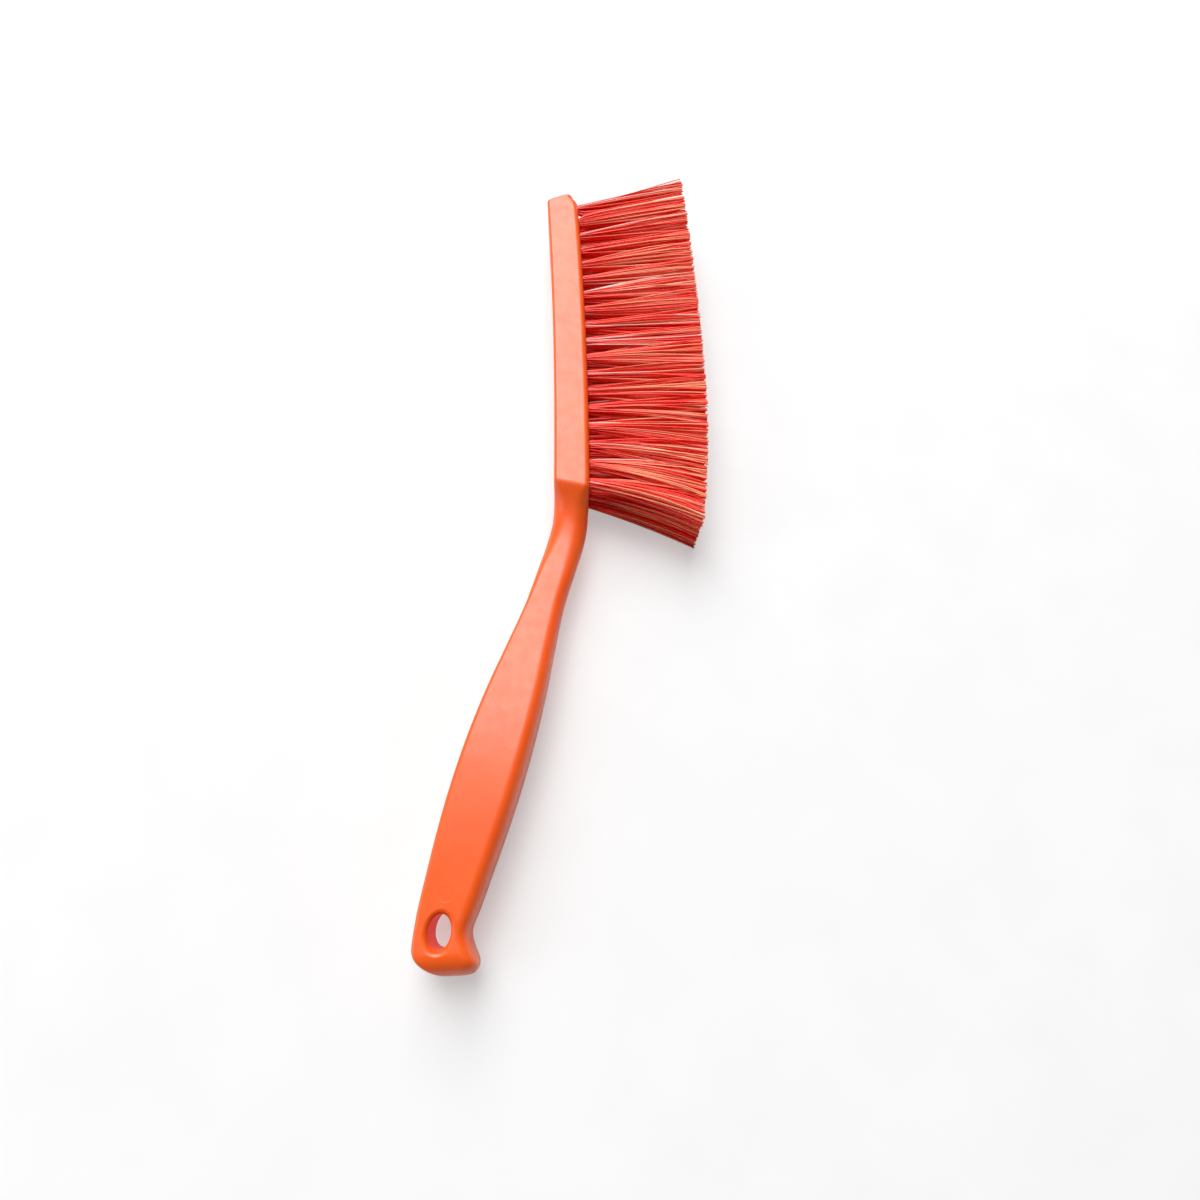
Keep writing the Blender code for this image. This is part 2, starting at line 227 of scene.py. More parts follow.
def select_by(mesh: bpy.types.Mesh, wanted: Callable[[Vector], bool]) -> None:
    """Keeps selected, of the vertices that are selected in edit mode, those that pass a test.

    Args:
        mesh: The mesh in edit mode.
        wanted: The test, which is given a vertex's place.
    """
    edited = bmesh.from_edit_mesh(mesh)
    chosen = [vert for vert in edited.verts if vert.select and wanted(vert.co)]
    bpy.ops.mesh.select_all(action="DESELECT")
    edited = bmesh.from_edit_mesh(mesh)
    for vert in chosen:
        vert.select = True
    edited.select_flush(True)
    bmesh.update_edit_mesh(mesh, loop_triangles=False, destructive=False)


def selected_vertices(mesh: bpy.types.Mesh) -> list[bmesh.types.BMVert]:
    """The vertices that are selected in edit mode."""
    return [vert for vert in bmesh.from_edit_mesh(mesh).verts if vert.select]


def apply_modifier(piece: bpy.types.Object, kind: str, **settings: object) -> None:
    """Adds a modifier and applies it.

    Args:
        piece: The piece that it changes.
        kind: Blender's type of the modifier.
        **settings: Its settings by name.
    """
    only(piece)
    modifier = piece.modifiers.new(kind.lower(), kind)
    for key, value in settings.items():
        setattr(modifier, key, value)
    bpy.ops.object.modifier_apply(modifier=modifier.name)


def dress(piece: bpy.types.Object, material: bpy.types.Material) -> None:
    """Gives a piece its one material."""
    piece.data.materials.clear()
    piece.data.materials.append(material)


class NodeBench:
    """Builds one material's nodes."""

    def __init__(self, name: str) -> None:
        """Starts a material that holds a Principled shader and the object's own coordinates.

        Args:
            name: Name of the material.
        """
        self.material = bpy.data.materials.new(name)
        self.material.use_nodes = True
        self.nodes = self.material.node_tree.nodes
        self.links = self.material.node_tree.links
        self.shader = self.nodes["Principled BSDF"]
        self.place = self.nodes.new("ShaderNodeTexCoord").outputs["Object"]

    def join(self, output: Socket, target: Socket) -> None:
        """Wires an output to an input."""
        self.links.new(output, target)

    def add(self, kind: str, inputs: dict[str | int, Input], **settings: str) -> bpy.types.NodeOutputs:
        """Adds a node.

        Args:
            kind: Blender's type of the node, without its prefix.
            inputs: Value of each input, or the output that it is wired to.
            **settings: The node's other settings by name.

        Returns:
            The node's outputs.
        """
        node = self.nodes.new(f"ShaderNode{kind}")
        for name, setting in settings.items():
            setattr(node, name, setting)
        for key, value in inputs.items():
            if isinstance(value, Socket):
                self.join(value, node.inputs[key])
            else:
                node.inputs[key].default_value = value
        return node.outputs

    def stretched(self, scale: Triple, turn: float = 0.0) -> Socket:
        """Object coordinates, turned round Z and then scaled on each axis."""
        inputs = {"Vector": self.place, "Scale": [1 / size for size in scale], "Rotation": (0.0, 0.0, turn)}
        return self.add("Mapping", inputs, vector_type="TEXTURE")["Vector"]

    def noise(self, place: Socket, scale: float, detail: float = 2.0, warp: float = 0.0) -> Socket:
        """Noise of this many cells to the metre, with finer layers inside them."""
        inputs = {"Vector": place, "Scale": scale, "Detail": detail, "Distortion": warp}
        return self.add("TexNoise", inputs)["Fac"]

    def ranged(self, value: Socket, source: Span, target: Span = (0.0, 1.0)) -> Socket:
        """Value carried smoothly from one range to another, and kept inside it."""
        inputs = dict(zip(RANGE_INPUTS, (value, *source, *target)))
        return self.add("MapRange", inputs, interpolation_type="SMOOTHSTEP")["Result"]

    def math(self, operation: str, first: Socket, second: Socket | float) -> Socket:
        """Result of an operation on two values."""
        return self.add("Math", {0: first, 1: second}, operation=operation)["Value"]

    def mixed(self, share: Socket, first: Socket | Color, second: Socket | Color) -> Socket:
        """Colour mixed from two, with this share of the second."""
        return self.add("Mix", {0: share, 6: first, 7: second}, data_type="RGBA")[2]

    def distance(self, point: Triple) -> Socket:
        """Distance of the surface from a point of the row frame."""
        return self.add("VectorMath", {0: self.place, 1: point}, operation="DISTANCE")["Value"]

    def attribute(self, name: str) -> Socket:
        """Value of one of the mesh's own attributes."""
        return self.add("Attribute", {}, attribute_name=name)["Fac"]

    def bump(self, height: Socket, depth: float, under: Socket | None = None) -> Socket:
        """Surface normal raised by a height, on top of an earlier bump where one is given."""
        below = {} if under is None else {"Normal": under}
        return self.add("Bump", {"Height": height, "Distance": depth, **below})["Normal"]

    def wire(self, **values: Socket) -> None:
        """Wires outputs to the shader's sockets."""
        for name, value in values.items():
            self.join(value, self.shader.inputs[name.replace("_", " ")])

    def constants(self, **values: Triple | float) -> None:
        """Sets plain numbers on the shader's own sockets."""
        for name, value in values.items():
            self.shader.inputs[name.replace("_", " ")].default_value = value


@dataclass(frozen=True)
class MouldedPlastic:
    """Satin orange polypropylene with a faint mould grain, flow lines and ejector-pin marks."""

    light: Color = (1.00, 0.126, 0.010, 1.0)
    deep: Color = (1.00, 0.110, 0.008, 1.0)
    scuffed: Color = (1.00, 0.260, 0.100, 1.0)
    roughness: Span = (0.35, 0.42)
    cloud_cells: float = 38.0
    cloud_warp: float = 0.6
    mottle_cells: float = 260.0
    streaks_from: Span = (0.45, 0.75)
    streak_share: float = 0.16
    scuffs_from: Span = (0.70, 0.80)
    scuff_share: float = 0.30
    scuff_roughness: float = 0.25
    scratch_turn: float = 0.32
    scratch_warp: float = 0.4
    ior: float = 1.49
    specular: float = 0.68
    glow_share: float = 0.10
    glow_depth: float = 0.0015
    glow_reach: Triple = (1.0, 0.35, 0.12)
    grain_cells: float = 2600.0
    grain_depth: float = 0.0000035
    wave_cells: float = 75.0
    wave_depth: float = 0.00006
    flow_stretch: Triple = (900.0, 26.0, 900.0)
    scratch_stretch: Triple = (1500.0, 60.0, 1500.0)
    pin_radius: float = 0.0026
    pin_rim: float = 0.00035
    pin_depth: float = 0.000035
    pin_places: tuple[Triple, ...] = (
        (-0.0006, 0.1507, 0.026), (-0.0015, 0.0847, 0.026), (-0.0025, 0.0263, 0.026),
        (-0.0459, -0.1425, 0.0220), (-0.0015, 0.0847, 0.0), (-0.0025, 0.0263, 0.0),
    )

    def build(self) -> bpy.types.Material:
        """Makes the material.

        Returns:
            The material.
        """
        bench = NodeBench("orange_polypropylene")
        cloud = bench.ranged(bench.noise(bench.place, self.cloud_cells, 3.0, self.cloud_warp), MIDDLING)
        flow = bench.noise(bench.stretched(self.flow_stretch), 1.0, 3.0)
        along = bench.stretched(self.scratch_stretch, self.scratch_turn)
        scratch = bench.noise(along, 1.0, 2.0, self.scratch_warp)
        color = bench.mixed(cloud, self.deep, self.light)
        streak = bench.ranged(flow, self.streaks_from, (0.0, self.streak_share))
        color = bench.mixed(streak, color, self.light)
        scuff = bench.ranged(scratch, self.scuffs_from, (0.0, self.scuff_share))
        color = bench.mixed(scuff, color, self.scuffed)
        mottle = bench.noise(bench.place, self.mottle_cells, 4.0)
        rough = bench.ranged(mottle, MIDDLING, self.roughness)
        rough = bench.math("ADD", rough, bench.math("MULTIPLY", scuff, self.scuff_roughness))
        normal = bench.bump(bench.noise(bench.place, self.wave_cells, 1.0), self.wave_depth)
        normal = bench.bump(bench.noise(bench.place, self.grain_cells), self.grain_depth, normal)
        normal = bench.bump(self.pin_marks(bench), self.pin_depth, normal)
        bench.wire(Base_Color=color, Roughness=rough, Normal=normal)
        bench.constants(IOR=self.ior, Specular_IOR_Level=self.specular, Subsurface_Weight=self.glow_share)
        bench.constants(Subsurface_Scale=self.glow_depth, Subsurface_Radius=self.glow_reach)
        return bench.material

    def pin_marks(self, bench: NodeBench) -> Socket:
        """Height of the shallow round marks that the ejector pins leave.

        Args:
            bench: The material's bench.

        Returns:
            Socket that is 1 on the plain surface and 0 inside a mark.
        """
        height = None
        for point in self.pin_places:
            gap = bench.distance(point)
            mark = bench.ranged(gap, (self.pin_radius - self.pin_rim, self.pin_radius))
            height = mark if height is None else bench.math("MINIMUM", height, mark)
        return height


@dataclass(frozen=True)
class BristleFilament:
    """Glossy red-orange monofilament, each strand a little lighter or deeper than the next, with painted
    shade that deepens it towards the roots and a few pale strands painted as glints.
    """

    # Deep red of the darker strands, which is also the painted shade at the roots.
    deep: Color = (1.00, 0.013, 0.004, 1.0)
    # Bright colour towards the tips as painted light, and of the lighter strands.
    bright: Color = (1.00, 0.380, 0.190, 1.0)
    # Pale colour of the few strands painted as glints: painted highlight.
    pale: Color = (1.0, 0.52, 0.46, 1.0)
    tones: Span = (0.25, 1.0)
    painted_glint_tones: Span = (0.925, 0.945)
    # Painted shade: over the first half of each filament from its root, its colour rises from a tenth of the
    # bright colour to all of it.
    painted_light_over: Span = (0.0, 0.5)
    painted_light: Span = (0.10, 1.0)
    cloud_cells: float = 900.0
    clouds_from: Span = (0.35, 0.75)
    cloud_share: float = 0.12
    roughness: Span = (0.28, 0.36)
    ior: float = 1.57
    specular: float = 0.4

    def build(self) -> bpy.types.Material:
        """Makes the material, with painted shade that makes it deepest at the filaments' roots.

        Returns:
            The material.
        """
        bench = NodeBench("red_monofilament")
        tone = bench.attribute("strand_tone")
        # Painted shade: the colour is deeper towards the filaments' roots.
        painted_light = bench.ranged(bench.attribute("strand_place"), self.painted_light_over, self.painted_light)
        painted_light = bench.math("MULTIPLY", painted_light, bench.ranged(tone, self.tones))
        color = bench.mixed(painted_light, self.deep, self.bright)
        # Painted highlight: a few strands are pale along their whole length, as glints.
        color = bench.mixed(bench.ranged(tone, self.painted_glint_tones), color, self.pale)
        cloud = bench.noise(bench.place, self.cloud_cells)
        clouded = bench.ranged(cloud, self.clouds_from, (0.0, self.cloud_share))
        color = bench.mixed(clouded, color, self.bright)
        bench.wire(Base_Color=color, Roughness=bench.ranged(cloud, MIDDLING, self.roughness))
        bench.constants(IOR=self.ior, Specular_IOR_Level=self.specular)
        return bench.material


@dataclass(frozen=True)
class AnchorSteel:
    """Bright cold-rolled steel of the anchors."""

    base: Color = (0.58, 0.58, 0.60, 1.0)
    worn: Color = (0.42, 0.41, 0.41, 1.0)
    rolled_stretch: Triple = (9000.0, 500.0, 9000.0)
    roughness: Span = (0.24, 0.42)

    def build(self) -> bpy.types.Material:
        """Makes the material.

        Returns:
            The material.
        """
        bench = NodeBench("anchor_steel")
        rolled = bench.noise(bench.stretched(self.rolled_stretch), 1.0, 3.0)
        color = bench.mixed(rolled, self.base, self.worn)
        bench.wire(Base_Color=color, Roughness=bench.ranged(rolled, MIDDLING, self.roughness))
        bench.constants(Metallic=1.0)
        return bench.material


@dataclass(frozen=True)
class PaleFloor:
    """Matt pale floor, which shows near white to the camera and in reflections and keeps a soft shadow."""

    light: Color = (0.89, 0.89, 0.89, 1.0)
    deep: Color = (0.86, 0.86, 0.86, 1.0)
    grain_cells: float = 30.0
    roughness: float = 0.9
    specular: float = 0.1
    seen_white: float = 0.42
    mirrored_white: float = 0.20

    def build(self) -> bpy.types.Material:
        """Makes the material.

        Returns:
            The material.
        """
        bench = NodeBench("pale_floor")
        grain = bench.ranged(bench.noise(bench.place, self.grain_cells, 3.0), MIDDLING)
        bench.wire(Base_Color=bench.mixed(grain, self.deep, self.light))
        bench.constants(Roughness=self.roughness, Specular_IOR_Level=self.specular)
        glow = bench.add("Emission", {})[0]
        path = bench.add("LightPath", {})
        mirrored = bench.math("MAXIMUM", path["Is Glossy Ray"], path["Is Transmission Ray"])
        mirrored = bench.math("MULTIPLY", mirrored, self.mirrored_white)
        seen = bench.math("MULTIPLY", path["Is Camera Ray"], self.seen_white)
        share = bench.math("MAXIMUM", seen, mirrored)
        surface = bench.add("MixShader", {0: share, 1: bench.shader.outputs[0], 2: glow})[0]
        bench.join(surface, bench.nodes["Material Output"].inputs["Surface"])
        return bench.material


@dataclass
class TuftPlan:
    """Where the tufts stand, how they lean and where they are trimmed off."""

    pitch: float = 0.00868
    row_count: int = 18
    middle_set_back: float = 0.0044
    row_gap: float = 0.0080
    hole_depth: float = 0.0090
    hole_radius: float = 0.00265
    head_bow: float = 0.0011
    trim_reach: float = 0.0501
    trim_bow: float = 0.00185
    trim_power: float = 3.0
    trim_crown_share: float = 0.35
    tip_lean: float = math.radians(10.6)
    heel_lean: float = math.radians(-20.0)
    row_lean: float = math.radians(1.6)
    upright_share: float = -0.15
    heel_lean_power: float = 2.0

    @property
    def row_half(self) -> float:
        """Distance from the middle of the head to the first tuft of an outer row."""
        return self.pitch * (self.row_count - 1) / 2

    def row_pitch(self, row: Row) -> float:
        """Pitch of a row. The middle row starts further from the tip and ends level at the heel."""
        return self.pitch - (self.middle_set_back / (self.row_count - 1) if row is Row.MIDDLE else 0.0)

    def places(self) -> list[tuple[str, float, Row]]:
        """Lists the tufts.

        Returns:
            Every tuft's CAD node name, its place along the head and its row.
        """
        found = []
        last = self.row_count - 1
        for row in Row:
            for i in range(self.row_count):
                y = self.row_pitch(row) * (last - i) - self.row_half
                found.append((f"tuft_{row.number}_{i + 1:02d}", y, row))
        return found

    def bow_at(self, y: float) -> float:
        """How far the bowed bristle face stands back here."""
        return -self.head_bow * (y / self.row_half) ** 2

    def lean(self, y: float) -> float:
        """Angle by which a tuft leans along the head.

        Args:
            y: Place of the tuft's root along the head.

        Returns:
            The angle, which is above 0 where the tuft leans to the tip.
        """
        share = y / self.row_half
        if share > self.upright_share:
            return self.tip_lean * (share - self.upright_share) / (1 - self.upright_share)
        past = (self.upright_share - share) / (1 + self.upright_share)
        return self.heel_lean * past**self.heel_lean_power

    def frame(self, y: float, row: Row) -> Matrix:
        """Places a tuft in the head's layout.

        Args:
            y: Place of the tuft's root along the head.
            row: The tuft's row.

        Returns:
            Matrix whose +Z leaves the head along the tuft and whose +X lies along the head.
        """
        lean = self.lean(y)
        out = Vector((math.cos(lean), math.sin(lean), math.tan(self.row_lean) * row.value)).normalized()
        along = Vector((-math.sin(lean), math.cos(lean), 0))
        turn = Matrix((along, out.cross(along), out)).transposed()
        root = Vector((self.bow_at(y), y, self.row_gap * row.value))
        return Matrix.Translation(root) @ turn.to_4x4()

    def reach_at(self, y: np.ndarray) -> np.ndarray:
        """X of the trimmed face."""
        off_crown = np.abs(y / self.row_half - self.trim_crown_share)
        return self.trim_reach - self.trim_bow * off_crown**self.trim_power


@dataclass(frozen=True)
class Section:
    """One cross-section of the body, as a rectangle with rounded corners.

    Attributes:
        middle: Its middle.
        width: From its back edge to its front edge.
        depth: Through the body.
        back_round: Rounding of the back corners, across the width and through the depth.
        front_round: The same for the front corners.
        tilt: Turn round Z, which lowers its front edge.
    """

    middle: Vector
    width: float
    depth: float
    back_round: Span
    front_round: Span
    tilt: float = 0.0


@dataclass
class BrushBody:
    """Head, neck and grip in one moulding, with blind tuft holes and a hanging hole.

    The tables go along the handle by shares of its length, and tip_shares along the tip for its back and
    front edges. The second number is a turn in degrees in tilt_degrees, the step between cross-sections up
    to that place in handle_steps, and elsewhere a share of a named size or of the change between two.
    """

    plan: TuftPlan
    head_thickness: float = 0.0140
    head_width: float = 0.0260
    back_round: float = 0.0015
    front_round: float = 0.0022
    tip_margin: float = 0.0053
    tip_length: float = 0.0100
    tip_depth_round: float = 0.0012
    tip_front_round: float = 0.0040
    tip_edge_round: float = 0.0006
    heel_margin: float = 0.0005
    handle_length: float = 0.1714
    handle_swing: float = 0.0457
    neck_thickness: float = 0.0140
    neck_depth: float = 0.0100
    neck_round: float = 0.0060
    grip_thickness: float = 0.0231
    grip_depth: float = 0.0208
    grip_front_round: float = 0.0044
    end_depth: float = 0.0180
    end_back_round: float = 0.0086
    end_hook_round: float = 0.0050
    end_depth_round: float = 0.0070
    hang_hole_width: float = 0.0073
    hang_hole_length: float = 0.0107
    hang_hole_round: float = 0.0019
    hang_hole_set_back: float = 0.0005
    hang_hole_angle: float = math.radians(-9.4)
    hang_hole_share: float = 0.925
    corner_room_share: float = 0.88
    rounded_share: float = 0.17
    end_depth_share: float = 0.93
    round_from: float = 0.012
    tilt_from: float = 0.16
    tilt_passes: int = 8
    corner_steps: int = 8
    tip_steps: int = 26
    cap_steps: int = 16
    head_step: float = 0.0060
    end_step: float = 0.0010
    mouth_sides: int = 56
    mouth_steps: int = 9
    mouth_start: float = math.radians(9.0)
    mouth_reach_share: float = 0.98
    tuft_hole_sides: int = 20
    countersink: float = 0.0004
    countersink_growth: float = 1.14
    overrun: float = 0.0030
    smooth_angle: float = math.radians(40)
    normal_weight: int = 80
    tip_shares: tuple[Triple, ...] = (
        (0.00, 0.00, 0.00), (0.30, 0.00, 0.00), (0.55, 0.00, 0.00), (0.62, 0.02, 0.02),
        (0.70, 0.13, 0.05), (0.79, 0.28, 0.09), (0.88, 0.44, 0.14), (0.95, 0.56, 0.20),
        (0.98, 0.61, 0.24), (1.00, 0.64, 0.26),
    )
    swing_shares: Shares = (
        (0.00, 0.000), (0.04, 0.010), (0.09, 0.032), (0.14, 0.080),
        (0.19, 0.140), (0.33, 0.312), (0.51, 0.528), (0.67, 0.714),
        (0.82, 0.884), (0.90, 0.972), (0.93, 1.000), (0.96, 0.988),
        (1.00, 0.930),
    )
    swell_shares: Shares = (
        (0.045, -0.05), (0.14, 0.07), (0.24, 0.05), (0.29, 0.08),
        (0.38, 0.38), (0.47, 0.73), (0.57, 0.95), (0.67, 0.99),
        (0.75, 0.88), (0.82, 0.70), (0.89, 0.50), (0.928, 0.33),
        (0.96, 0.50), (0.975, 0.59), (1.00, 0.63),
    )
    step_shares: Shares = (
        (0.000, 0.000), (0.007, 0.015), (0.014, 0.065), (0.022, 0.155),
        (0.032, 0.280), (0.044, 0.420), (0.057, 0.553), (0.071, 0.672),
        (0.087, 0.778), (0.105, 0.866), (0.126, 0.936), (0.150, 0.980),
        (0.180, 1.000),
    )
    neck_round_shares: Shares = (
        (0.010, 0.00), (0.045, 0.80), (0.075, 1.00), (0.130, 1.00),
        (0.200, 0.35), (0.300, 0.00),
    )
    depth_shares: Shares = (
        (0.20, 0.00), (0.29, 0.12), (0.42, 0.60), (0.58, 1.00),
        (0.72, 1.00),
    )
    tilt_degrees: Shares = (
        (-0.16, 0.0), (-0.02, 13.0), (0.06, 13.0), (0.16, 17.0),
        (0.80, 17.0), (0.90, 9.0), (0.96, 0.0),
    )
    handle_steps: Shares = (
        (0.0045, 0.0030), (0.0600, 0.00025), (0.1800, 0.0009), (0.8400, 0.0022),
    )
    sections: list[Section] = field(default_factory=list)

    @property
    def tip_y(self) -> float:
        """Far end of the head."""
        return self.plan.row_half + self.tip_margin

    @property
    def heel_y(self) -> float:
        """Where the head ends and the neck begins."""
        return -self.plan.row_half - self.heel_margin

    @property
    def end_y(self) -> float:
        """Far end of the handle."""
        return self.heel_y - self.handle_length

    @property
    def tilt_start(self) -> float:
        """Where the cross-sections begin to tilt, on the head."""
        return self.heel_y + self.tilt_from * self.handle_length

    def along(self, y: float) -> float:
        """Share of the handle's length that lies between the heel and y."""
        return (self.heel_y - y) / self.handle_length

    def thickness(self, along: float) -> float:
        """Width of the handle's outline at a share of its length."""
        stations = graded(self.neck_thickness, self.grip_thickness, self.swell_shares)
        return smooth_through(((0.0, self.head_thickness), *stations), along)

    def depth(self, along: float) -> float:
        """Depth of the handle.

        Args:
            along: Share of the handle's length.

        Returns:
            The depth there.
        """
        stepped = graded(self.head_width, self.neck_depth, self.step_shares)
        grown = graded(self.neck_depth, self.grip_depth, self.depth_shares)
        return smooth_through((*stepped, *grown, (self.end_depth_share, self.end_depth)), along)

    def middle(self, along: float) -> float:
        """X of the handle's middle line."""
        swing = self.handle_swing * smooth_through(self.swing_shares, along)
        return self.plan.bow_at(self.heel_y) - self.head_thickness / 2 - swing

    def outline(self, edge: Edge, y: float) -> float:
        """X of the body's back or front edge.

        Args:
            edge: Which edge.
            y: Place along the brush, from the heel to the handle's end or up the head.

        Returns:
            X of the edge there.
        """
        if y >= self.heel_y:
            return self.plan.bow_at(y) - (self.head_thickness if edge is Edge.BACK else 0.0)
        to_end = y - self.end_y
        size = self.end_back_round if edge is Edge.BACK else self.end_hook_round
        reach = self.thickness(self.along(y)) / 2 - rounded_in(to_end, size)
        return self.middle(self.along(y)) + edge.value * reach

    def fitted_corner(self, size: float, width: float, depth: float) -> Span:
        """Rounding of one of the head's corners, the same across and through it, within its room."""
        fitted = min(size, self.corner_room_share * min(width, depth) / 2)
        return fitted, fitted

    def oval_corner(self, size: float, width: float, depth: float) -> Span:
        """Rounding of one of the handle's corners, across and through it, each within its own room."""
        across, through = (min(size, self.corner_room_share * room / 2) for room in (width, depth))
        return across, through

    def tilt_at(self, along: float) -> float:
        """Turn of the cross-sections, which follow the bend of the handle."""
        turns = tuple((place, math.radians(turn)) for place, turn in self.tilt_degrees)
        return smooth_through(turns, along)

    def reach_to(self, edge: Edge, y: float, centre: float, tilt: float) -> float:
        """Finds where a tilted cross-section meets the outline.

        Args:
            edge: Which edge of the outline.
            y: Place of the cross-section's centre.
            centre: X of its centre.
            tilt: Its turn round Z.

        Returns:
            Distance from the centre to the outline, below 0 towards the back.
        """
        reach = 0.0
        for _ in range(self.tilt_passes):
            at = y - reach * math.sin(tilt)
            reach = (self.outline(edge, at) - centre) / math.cos(tilt)
        return reach

    def handle_rounds(self, along: float, width: float, depth: float) -> tuple[Span, Span]:
        """Rounding of the handle's corners, which grows at the neck.

        Args:
            along: Share of the handle's length.
            width: Width of the cross-section.
            depth: Depth of the cross-section.

        Returns:
            Rounding of the back corners and of the front corners.
        """
        rounded = min(max(along - self.round_from, 0.0) / self.rounded_share, 1.0)
        necked = smooth_through(self.neck_round_shares, along)
        back = blend(self.back_round, self.neck_round, necked)
        front = blend(self.front_round, self.grip_front_round, rounded)
        front = blend(front, self.neck_round, necked)
        return self.oval_corner(back, width, depth), self.oval_corner(front, width, depth)

    def handle_section(self, y: float) -> Section:
        """Cross-section of the head's lower end or the handle, tilted, with its two ends on the outline.

        Args:
            y: Place of its centre.

        Returns:
            The cross-section.
        """
        along = self.along(y)
        tilt = self.tilt_at(along)
        centre = self.middle(max(along, 0.0))
        back, front = (self.reach_to(edge, y, centre, tilt) for edge in Edge)
        width = front - back
        depth = self.depth(max(along, 0.0)) - 2 * rounded_in(y - self.end_y, self.end_depth_round)
        turn = Vector((math.cos(tilt), -math.sin(tilt), 0.0))
        middle = Vector((centre, y, 0.0)) + turn * (back + front) / 2
        return Section(middle, width, depth, *self.handle_rounds(along, width, depth), tilt)

    def head_section(self, y: float) -> Section:
        """Upright cross-section of the head.

        Args:
            y: Place of the cross-section, which is drawn in where the tip is rounded off.

        Returns:
            The cross-section.
        """
        to_end = self.tip_y - y
        along = 1 - min(to_end / self.tip_length, 1.0)
        backs = tuple((place, back) for place, back, _ in self.tip_shares)
        fronts = tuple((place, front) for place, _, front in self.tip_shares)
        edge_in = rounded_in(to_end, self.tip_edge_round)
        back = self.outline(Edge.BACK, y) + self.head_thickness * smooth_through(backs, along) + edge_in
        front = self.outline(Edge.FRONT, y) - self.head_thickness * smooth_through(fronts, along) - edge_in
        front_round = blend(self.front_round, self.tip_front_round, along**2 * (3 - 2 * along))
        middle = Vector(((back + front) / 2, y, 0.0))
        depth = self.head_width - 2 * rounded_in(to_end, self.tip_depth_round)
        rounds = [self.fitted_corner(size, front - back, depth) for size in (self.back_round, front_round)]
        return Section(middle, front - back, depth, rounds[0], rounds[1])

    def lay_out(self) -> None:
        """Lists the cross-sections from the tip of the head to the end of the handle."""
        for i in range(self.tip_steps + 1):
            turn = math.pi / 2 * i / self.tip_steps
            y = self.tip_y - self.tip_length * (1 - math.cos(turn))
            self.sections.append(self.head_section(y))
        for y in spaced(self.tip_y - self.tip_length, self.tilt_start, self.head_step):
            self.sections.append(self.head_section(y))
        for start, end, step in self.handle_spans():
            self.sections += [self.handle_section(y) for y in spaced(start, end, step)]
        for i in range(1, self.cap_steps + 1):
            reach = self.end_back_round * math.sin(math.pi / 2 * i / self.cap_steps)
            self.sections.append(self.handle_section(self.end_y + self.end_back_round - reach))

    def handle_spans(self) -> list[Triple]:
        """Stretches of the handle.

        Returns:
            First and last place of each, and the step between its cross-sections.
        """
        spans = []
        start = self.tilt_start
        for share, step in self.handle_steps:
            end = self.heel_y - share * self.handle_length
            spans.append((start, end, step))
            start = end
        return [*spans, (start, self.end_y + self.end_back_round, self.end_step)]

    def add_section(self, section: Section) -> None:
        """Adds one cross-section to the mesh in edit mode, as a plane whose corners are bevelled.

        Args:
            section: The cross-section.
        """
        back_stretch = section.back_round[0] / section.back_round[1]
        front_stretch = section.front_round[0] / section.front_round[1]
        mesh = bpy.context.view_layer.objects.active.data
        bpy.ops.mesh.primitive_plane_add(size=1, rotation=(math.pi / 2, 0, 0))
        bpy.ops.transform.resize(value=(section.width, 1, section.depth * back_stretch))
        self.round_corners(mesh, Edge.BACK, section.back_round[0])
        bpy.ops.transform.resize(value=(1, 1, front_stretch / back_stretch))
        self.round_corners(mesh, Edge.FRONT, section.front_round[0])
        bpy.ops.transform.resize(value=(1, 1, 1 / front_stretch))
        bpy.ops.transform.rotate(value=section.tilt, orient_axis="Z", center_override=(0, 0, 0))
        bpy.ops.transform.translate(value=section.middle)
        bpy.ops.mesh.delete(type="ONLY_FACE")

    def round_corners(self, mesh: bpy.types.Mesh, edge: Edge, size: float) -> None:
        """Bevels two corners of the selected plane, then selects the whole plane again.

        Args:
            mesh: The mesh in edit mode.
            edge: The edge whose corners are bevelled.
            size: Size of the bevel.
        """
        select_by(mesh, lambda place: place.x * edge.value > 0)
        bpy.ops.mesh.bevel(offset=size, segments=self.corner_steps, profile=0.5, affect="VERTICES")
        bpy.ops.mesh.select_linked()

    def build_skin(self) -> bpy.types.Object:
        """Makes every cross-section, bridges them and closes both ends.

        Returns:
            The body without its holes.
        """
        self.lay_out()
        start_mesh()
        skin = named("body")
        for section in self.sections:
            self.add_section(section)
        bpy.ops.mesh.select_all(action="SELECT")
        bpy.ops.mesh.bridge_edge_loops()
        for end in (self.sections[0], self.sections[-1]):
            bpy.ops.mesh.select_all(action="SELECT")
            select_by(skin.data, lambda place, y=end.middle.y: abs(place.y - y) < SAME_PLACE)
            bpy.ops.mesh.edge_face_add()
        bpy.ops.mesh.select_all(action="SELECT")
        bpy.ops.mesh.normals_make_consistent(inside=False)
        object_mode()
        return skin

    def tuft_hole(self) -> bpy.types.Object:
        """Makes a cylinder with a small countersink where it leaves the bristle face.

        Returns:
            The cutter of one blind hole.
        """
        deep = self.plan.hole_depth
        start_mesh()
        hole = named("tuft_hole")
        bpy.ops.mesh.primitive_cylinder_add(
            vertices=self.tuft_hole_sides,
            radius=self.plan.hole_radius,
            depth=deep,
            location=(0, 0, -deep / 2 - self.countersink / 2),
        )
        select_by(hole.data, lambda place: place.z > -deep / 2)
        bpy.ops.mesh.extrude_region_move(TRANSFORM_OT_translate={"value": (0, 0, self.countersink)})
        bpy.ops.transform.resize(value=(self.countersink_growth, self.countersink_growth, 1))
        bpy.ops.mesh.extrude_region_move(TRANSFORM_OT_translate={"value": (0, 0, self.overrun)})
        object_mode()
        return hole

